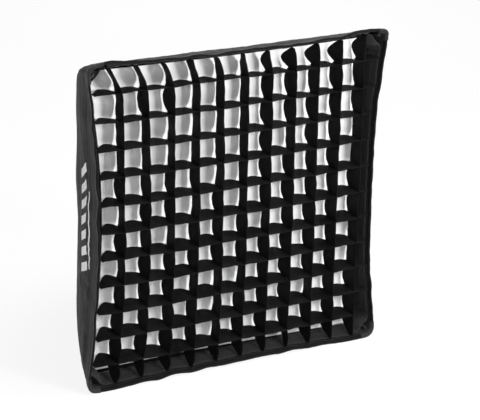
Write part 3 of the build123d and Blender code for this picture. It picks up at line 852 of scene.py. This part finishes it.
# short tabs of tape, folded over the rim's corners
tab = {"reach": 0.925, "stops": 7, "stand": 0.0003, "thick": 0.0006, "ruck": 0.0009, "rounding": 0.35,
       "fold": 4, "foldLift": 0.0004, "inside": 0.0014, "cut": (0.026, 0.030)}
tabFold = [(-0.0010, 0.0190), (-0.0013, 0.0120), (-0.0013, 0.0050), (-0.0004, 0.0002), (0.0014, -0.0008),
           (0.0034, 0.0004), (0.0044, 0.0040), (0.0044, 0.0080), (0.0040, 0.0120)]
tabShares = evenly(tab["reach"], 1, tab["stops"])
order = list(sides)
for first, second in zip(order, order[1:] + order[:1]):
    corner = cornersOf[first][1]
    stops = [(first, share) for share in tabShares[:-1]]
    stops += [(second, -share) for share in reversed(tabShares)]

    def tabFace(stop, fold, layer):
        side, share = stops[stop]
        inset, depth = tabFold[fold]
        away = abs(stop / (len(stops) - 1) * 2 - 1)
        depth *= 1 - tab["rounding"] * away**3
        ruck = tab["ruck"] * abs(wander(stop * 0.9, fold * 0.5, len(corner)))
        lift = tab["stand"] + tab["thick"] * (1 - layer) + ruck
        if fold == tab["fold"]:
            return lipPoint(side, share, depth - tab["foldLift"], inset)
        return lipPoint(side, share, depth, inset - lift if inset < tab["inside"] else inset + lift)

    piece = clothSheet(f"cornerTab_{corner}", range(len(stops)), range(len(tabFold)), tabFace, tab["cut"],
                       "softbox", ["piping"])
    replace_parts(piece, f"corner_pocket_{corner}")
print("pockets made")


# front diffuser
diffuser = {
    "depth": 0.0404, "thick": 0.0005, "half": 0.2836, "cells": 150, "cornerCut": 0.026, "stand": 0.0016,
    "fan": 0.0019, "fanStart": 0.05, "fanReach": 0.16,       # folds that fan out from each corner
    "drift": 0.0027, "ripple": 0.0016,
    "fold": 0.0016, "folds": (0.158, 0.012, -0.136), "foldWidth": 0.006, "foldWander": 0.006,
    "edge": 0.045,                                           # where it starts to lie flat on its tape
}
diffuserEdge = {
    "left": 0.0050, "right": 0.0115, "top": 0.0030, "bottom": 0.0066, "taper": 0.0056,    # visible widths; the bottom's taper is painted shade
    "columns": 60, "outer": 0.0005, "inner": 0.0007, "cut": 0.01,      # its thickness, and the tape's width
}


def diffuserDepth(x, z):
    # tension fans from the corners, a slow drift, and the creases of its storage folds
    depth = 0.0
    for right in (-1, 1):
        for up in (-1, 1):
            dx, dz = diffuser["half"] - right * x, diffuser["half"] - up * z
            away = math.hypot(dx, dz)
            angle = math.atan2(dz, dx + 1e-9)
            fan = math.sin(angle * 17 + right * 1.3 + up * 2.1 + 2.2 * wander(x * 5, z * 5, 2.0))
            fade = math.exp(-away / diffuser["fanReach"]) * min(1.0, away / diffuser["fanStart"])
            depth += diffuser["fan"] * fan * fade
    drift = wander(x * 7 + z * 3.2, z * 2.2 - x, 9.0) + 0.5 * wander(x * 17 + z * 9, z * 6, 4.0)
    depth += diffuser["drift"] * drift
    depth += diffuser["ripple"] * wander(x * 46 + z * 6, z * 9 - x * 3, 6.0)
    for number, height in enumerate(diffuser["folds"]):
        off = z - height - diffuser["foldWander"] * wander(x * 4, number * 3.0, 1.0)
        strength = 0.6 + 0.8 * wander(x * 3 + number * 5, 0.5, 7.0)
        depth += diffuser["fold"] * strength * math.exp(-abs(off) / diffuser["foldWidth"])
    toEdge = min(diffuser["half"] - abs(x), diffuser["half"] - abs(z))
    return max(0.0, depth + diffuser["stand"]) * min(1.0, max(0.0, toEdge) / diffuser["edge"] + 0.1)


def diffuserSpot(share, step):
    edgeX = diffuser["half"] - bow("left", diffuser["depth"]) * (1 - step * step)
    edgeZ = diffuser["half"] - bow("top", diffuser["depth"]) * (1 - share * share)
    return share * edgeX, step * edgeZ, 0


mesh = bpy.data.meshes.new("diffuserCloth")
work = bmesh.new()
steps = evenly(-1, 1, diffuser["cells"])
rows = [[work.verts.new(diffuserSpot(share, step)) for share in steps] for step in steps]
for below, above in zip(rows, rows[1:]):
    for i in range(diffuser["cells"]):
        work.faces.new((below[i], below[i + 1], above[i + 1], above[i]))
for right in (-1, 1):
    for up in (-1, 1):
        out = Vector((right, up, 0)).normalized()
        reach = diffuser["half"] * rootTwo - diffuser["cornerCut"] / rootTwo
        everything = work.verts[:] + work.edges[:] + work.faces[:]
        bmesh.ops.bisect_plane(work, geom=everything, plane_co=out * reach, plane_no=out, clear_outer=True,
                               dist=1e-5)
uv = work.loops.layers.uv.new("cloth")
for face in work.faces:
    for loop in face.loops:
        loop[uv].uv = (loop.vert.co.x, loop.vert.co.y)
for vert in work.verts:
    x, z = vert.co.x, vert.co.y
    vert.co = (x, rimY + diffuser["depth"] + diffuserDepth(x, z), z)
bmesh.ops.recalc_face_normals(work, faces=work.faces)
bmesh.ops.solidify(work, geom=work.faces[:], thickness=diffuser["thick"])
work.to_mesh(mesh)
work.free()
piece = finishPiece("diffuserCloth", mesh, "diffuser", ["white"], crisp=50)
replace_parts(piece, "diffuser_cloth")


def insideEdge(outer):
    # where the black edge ends on the white cloth; along the bottom it thins towards the right as painted
    # shade, a dark strip standing in for the shade along the bottom row, heaviest at the left
    half = diffuser["half"]
    shadeTaper = diffuserEdge["taper"] * clamp(outer.x / half + 0.35)
    left, right = diffuserEdge["left"] - half, half - diffuserEdge["right"]
    bottom, top = diffuserEdge["bottom"] - shadeTaper - half, half - diffuserEdge["top"]
    return Vector((min(right, max(left, outer.x)), 0, min(top, max(bottom, outer.z))))


# its black edge, sewn on the front face; along the bottom it is widest at the left, as painted shade
draft = Draft()
for side, (along, out) in sides.items():
    for share in evenly(-1, 1, diffuserEdge["columns"])[:-1]:
        drawn = bow(side, diffuser["depth"]) * (1 - share * share)
        outer = along * share * diffuser["half"] + out * (diffuser["half"] - drawn)
        within = insideEdge(outer) - out * drawn
        for spot, rise, width in ((outer, 0.0, 0.0), (outer, diffuserEdge["outer"], 0.0),
                                  (within, diffuserEdge["inner"], diffuserEdge["cut"]),
                                  (within, 0.0, diffuserEdge["cut"])):
            depth = diffuser["depth"] - rise
            draft.point(spot + Vector((0, rimY + depth, 0)), spot.x + spot.z, width + rise)
draft.tube(len(sides) * diffuserEdge["columns"], 4, closed=True)
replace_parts(draft.make("diffuserEdge", "diffuser", ["loop"]), "diffuser_hook_band")
print("diffuser made")


# egg-crate grid
crate = {
    "strips": 11, "uprightPitch": 0.048, "uprightShift": 0.012, "crossingPitch": 0.050,
    "front": 0.0014, "rear": 0.0384, "thick": 0.0008, "steps": 9, "layers": 5,
    "scallop": 0.0062,               # how far the rear edge is drawn in at a crossing
    "gap": 0.0053, "endDepth": 0.012, "tipRear": 0.0125, "taper": 0.026,     # the cut ends
    "wander": 0.0021, "wanderScale": 19,
    "span": 0.6,                     # the sag and the swing are waves across it
    "sag": 0.0085, "sagEnd": 0.34,   # of the crossing strips, most in the middle
    "swing": 0.003,                  # of the uprights, sideways
    "drawn": 0.0110,                 # how far the left uprights bend out to the corners, and less at the top
    "drawnFrom": 0.30, "drawnOver": 0.54, "drawnHeight": 0.225, "drawnTop": 0.55,
    "lean": 0.019,                   # and lean at the top left
    "tilt": 0.0025, "tiltFall": 0.021, "tiltCurve": 0.044,
    "frontBulge": 0.0016, "lowBulge": 0.0030, "rearBulge": 0.0048, "topBulge": 1.9,
    "uprightRear": (0.3, 1.2), "uprightFront": (-0.6, 1.3),      # shares of a bulge, drawn for each cell
    "crossingRear": (0.5, 1.25), "crossingFront": (-0.6, 0.7),
    "often": 0.72, "seldom": 0.12,   # how often an upright's cell bends the other way
    "ruffle": 0.0024, "flutter": 0.0011,
}
middle = (crate["strips"] + 1) / 2
fromMiddle = [i + 1 - middle for i in range(crate["strips"])]
uprights = [crate["uprightPitch"] * i + crate["uprightShift"] for i in fromMiddle]
crossings = [crate["crossingPitch"] * i for i in fromMiddle]


def crossing(x, z):
    # where an upright and a crossing strip really meet
    scale, turn = crate["wanderScale"], math.pi / crate["span"]
    dx = crate["wander"] * wander(x * scale, z * scale, 3.0)
    dz = crate["wander"] * wander(x * scale, z * scale, 8.0)
    left = max(0.0, crate["drawnFrom"] - x) / crate["drawnOver"]
    upper = crate["drawnTop"] if z > 0 else 1.0
    dx -= crate["drawn"] * left**2 * (z / crate["drawnHeight"]) ** 2 * upper
    dx += crate["swing"] * math.cos(turn * x)
    dz -= crate["sag"] * (0.45 + 0.55 * math.cos(turn * z)) * (1 - (x / crate["sagEnd"]) ** 4)
    return x + dx, z + dz


def smooth(a, b, c, d, t):
    # a curve through b and c
    square = 2 * a - 5 * b + 4 * c - d
    cube = 3 * b - a - 3 * c + d
    return 0.5 * (2 * b + (c - a) * t + square * t * t + cube * t**3)


def rearTilt(height):
    # the crossing strips' rear edges droop near the top and ride up lower down
    return crate["tilt"] - crate["tiltFall"] * height - crate["tiltCurve"] * height**2


def stripReach(side, place):
    # from the axis to a strip's end, just inside the border
    half = halfSide(crate["endDepth"])
    share = place * sum(sides[side][0]) / half
    drawn = bow(side, crate["endDepth"]) * (1 - share * share)
    return half - drawn + rimWave(side, share, crate["endDepth"]) - crate["gap"]


def stripKnots(place, upright, start, end):
    # where the strip ends and meets the others, as its sideways place and its run
    knots = []
    for other in [start] + (crossings if upright else uprights) + [end]:
        x, z = crossing(place, other) if upright else crossing(other, place)
        knots.append(Vector((x, z)) if upright else Vector((z, x)))
    knots[0].y, knots[-1].y = start, end
    if upright:
        knots[-1].x -= crate["lean"] * max(0.0, 0.75 - place / rimHalf) / 1.5
    return knots


def stripBulges(number, place, upright, cells):
    # each cell's slack at the front and rear edge: uprights mostly bend one way, crossings rise
    draws = random.Random(number * 2 + upright)
    bulges = []
    for cell in range(cells):
        if upright:
            slack = draws.uniform(*crate["uprightRear"]) * crate["rearBulge"]
            turned = crate["often"] if place < 0.06 and cell > 5 else crate["seldom"]     # often upper left
            rear = slack if draws.random() < turned else -slack
            if cell == cells - 1 and place > 0.07:
                rear *= crate["topBulge"]
            front = draws.uniform(*crate["uprightFront"]) * crate["frontBulge"]
            front += crate["lowBulge"] * max(0.0, 0.5 - cell / cells) * 2 * max(0.0, 0.6 - place / rimHalf)
        else:
            rear = draws.uniform(*crate["crossingRear"]) * crate["rearBulge"]
            front = draws.uniform(*crate["crossingFront"]) * crate["frontBulge"]
        bulges.append((front, rear))
    return bulges


def stripTrack(knots, bulges):
    # sideways place, run and bulges along the whole strip
    track = []
    for cell, (front, rear) in enumerate(bulges):
        first, last = knots[cell], knots[cell + 1]
        before = knots[cell - 1] if cell else first * 2 - last
        after = knots[cell + 2] if cell + 2 < len(knots) else last * 2 - first
        for step in range(crate["steps"] + (cell == len(bulges) - 1)):
            t = step / crate["steps"]
            sideways = smooth(before.x, first.x, last.x, after.x, t)
            track.append((sideways, first.y + (last.y - first.y) * t, math.sin(math.pi * t), front, rear))
    return track


def gridStrip(name, number, upright):
    place = uprights[number] if upright else crossings[number]
    low, high = ("bottom", "top") if upright else ("left", "right")
    start, end = -stripReach(low, place), stripReach(high, place)
    knots = stripKnots(place, upright, start, end)
    track = stripTrack(knots, stripBulges(number, place, upright, len(knots) - 1))
    draft = Draft()
    for face in (1, -1):
        for sideways, run, belly, front, rear in track:
            toEnd = min(1.0, min(run - start, end - run) / crate["taper"])
            cut = toEnd
            if upright and run > 0:
                cut += (1 - cut) * clamp(0.75 - 2.2 * (place / rimHalf + 0.25))      # less at the top left
            rearDepth = crate["rear"] - crate["scallop"] * (1 - belly**0.7)
            rearDepth += crate["ruffle"] * wander(run * 75, number * 4.1, 60 + upright)
            rearDepth = min(crate["rear"], rearDepth)
            rearDepth = crate["tipRear"] + (rearDepth - crate["tipRear"]) * (1 - (1 - cut) ** 1.4)
            for k in range(crate["layers"] + 1):
                share = k / crate["layers"]
                depth = crate["front"] + (rearDepth - crate["front"]) * share
                off = sideways + face * crate["thick"] / 2
                off += belly * (front * (1 - share) + rear * share**1.3)
                off += wander(run * 60, share * 2, number * 3 + upright) * crate["flutter"]
                if not upright:
                    off += rearTilt(place) * share * toEnd
                spot = (off, rimY + depth, run) if upright else (run, rimY + depth, off)
                draft.point(spot, run + 0.3, depth)
    draft.sheet(crate["layers"] + 1, len(track))
    piece = draft.make(name, "grid", ["grid"])
    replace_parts(piece, "grid_uprights" if upright else "grid_crossings")


for number in range(crate["strips"]):
    gridStrip(f"gridUpright_{number + 1:02d}", number, True)
    gridStrip(f"gridCrossing_{number + 1:02d}", number, False)
print("grid made")


# rear cuff round the speedring
cuff = {
    "half": 0.086, "hole": 0.0764, "corner": 0.014, "thick": 0.0013, "around": 144, "rings": 10,
    "rear": 0.0141,                      # of its rear face, in front of the mounting face
    "gathers": 46, "gather": 0.0005, "sag": 0.0008,
    "middle": 0.08,                      # radius at which its weave is true
    "cornerArea": 0.00017,               # what the rounded corners take from the flat square
}


def cuffReach(ray):
    # from the axis to the rounded square's edge
    straight = cuff["half"] - cuff["corner"]
    spot = ray * (cuff["half"] / max(abs(ray.x), abs(ray.y)))
    if min(abs(spot.x), abs(spot.y)) <= straight:
        return spot.length
    centre = Vector((math.copysign(straight, ray.x), math.copysign(straight, ray.y)))
    along = centre.dot(ray)
    return along + math.sqrt(max(0.0, cuff["corner"] ** 2 - (centre.length_squared - along**2)))


draft = Draft()
for i in range(cuff["around"]):
    turn = 2 * math.pi * i / cuff["around"]
    ray = Vector((math.cos(turn), math.sin(turn)))
    steps = evenly(0, 1, cuff["rings"])
    for layer, share in [(0, share) for share in steps] + [(1, share) for share in reversed(steps)]:
        radius = cuff["hole"] + (cuffReach(ray) - cuff["hole"]) * share
        gather = math.sin(turn * cuff["gathers"]) * cuff["gather"] * (1 - share) ** 1.5
        sag = cuff["sag"] * wander(ray.x * 3, ray.y * 3, share * 2) * math.sin(math.pi * share)
        y = gather + sag - cuff["rear"] - cuff["thick"] * layer
        draft.point((radius * ray.x, y, radius * ray.y), turn * cuff["middle"], radius)
draft.tube(cuff["around"], 2 * len(steps), closed=True)
piece = draft.make("rearCuffCloth", "softbox", ["shell"])
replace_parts(piece, "rear_cuff")
print("rear cuff made")


# camera, backdrop and light
view = {"eye": (-1.657, rimY - 2.930, 1.219), "aim": (0.0, rimY, 0.0), "lens": 150.0, "sensor": 36,
        "roll": 1.4}


def aimAt(holder, place, target):
    holder.location = place
    holder.rotation_euler = (Vector(target) - Vector(place)).to_track_quat("-Z", "Y").to_euler()


camera = addObject("camera", bpy.data.cameras.new("camera"))
aimAt(camera, view["eye"], view["aim"])
camera.rotation_euler.rotate_axis("Z", math.radians(view["roll"]))
camera.data.lens = view["lens"]
camera.data.sensor_width = view["sensor"]
camera.data.clip_end = 50
bpy.context.scene.camera = camera

stage = {"floor": (0.93, 0.93, 0.93, 1), "glow": 0.86, "white": (1, 1, 1, 1), "soft": 0.24,
         "below": 0.003, "half": 6}      # of the floor, which lies under the lowest point


def stageWhite():
    finish = Finish("stageWhite")
    finish.set(colour=stage["floor"], roughness=0.9, specular=0.1)
    seen = finish.add("ShaderNodeLightPath")
    rays = seen.out("Is Camera Ray").most(seen.out("Is Glossy Ray")).most(seen.out("Is Transmission Ray"))
    glow = finish.add("ShaderNodeEmission", None, {"Color": stage["white"], "Strength": 1.0})
    plain = Value(finish, finish.shader.outputs[0])
    mixed = finish.add("ShaderNodeMixShader", None, {0: rays * stage["glow"], 1: plain, 2: glow})
    finish.fill(finish.tree.nodes["Material Output"], {0: mixed})
    return finish.material


level, half = cadBox[0].z - stage["below"], stage["half"]
floorCorners = [(-half, -half, level), (half, -half, level), (half, half, level), (-half, half, level)]
floorMesh = bpy.data.meshes.new("floor")
floorMesh.from_pydata(floorCorners, [], [(0, 1, 2, 3)])
floorMesh.materials.append(stageWhite())
addObject("floor", floorMesh)

world = bpy.data.worlds.new("studio")
bpy.context.scene.world = world
world.use_nodes = True
sky = Nodes(world.node_tree)
seen = sky.add("ShaderNodeLightPath")
direct = seen.out("Is Camera Ray").most(seen.out("Is Transmission Ray"))
soft = sky.add("ShaderNodeBackground", None, {"Color": stage["white"], "Strength": stage["soft"]})
white = sky.add("ShaderNodeBackground", None, {"Color": stage["white"], "Strength": 1.0})
mixed = sky.add("ShaderNodeMixShader", None, {0: direct, 1: soft, 2: white})
sky.fill(world.node_tree.nodes["World Output"], {0: mixed})

lamps = {
    # name: (place, aim, width, height, watts)
    "key": ((0.60, -1.72, 0.65), (0.34, -0.37, -0.08), 0.40, 0.40, 24),
    "fill": ((-1.9, -3.2, 1.5), (0.0, -0.3, 0.0), 1.0, 1.0, 31),
    "side": ((-2.9, 0.5, 0.9), (0.0, 0.0, 0.0), 0.4, 1.6, 7),
    "top": ((0.5, -0.72, 2.5), (0.0, -0.1, 0.0), 1.4, 1.4, 60),
    "back": ((1.6, 2.4, 1.2), (0.0, 0.0, 0.0), 1.6, 1.2, 22),
}
for name, (place, target, width, height, watts) in lamps.items():
    lamp = bpy.data.lights.new(name, "AREA")
    lamp.shape = "RECTANGLE"
    lamp.size, lamp.size_y, lamp.energy = width, height, watts
    aimAt(addObject(name, lamp), place, target)

bpy.context.scene.view_settings.view_transform = "Standard"
print("camera and light set")
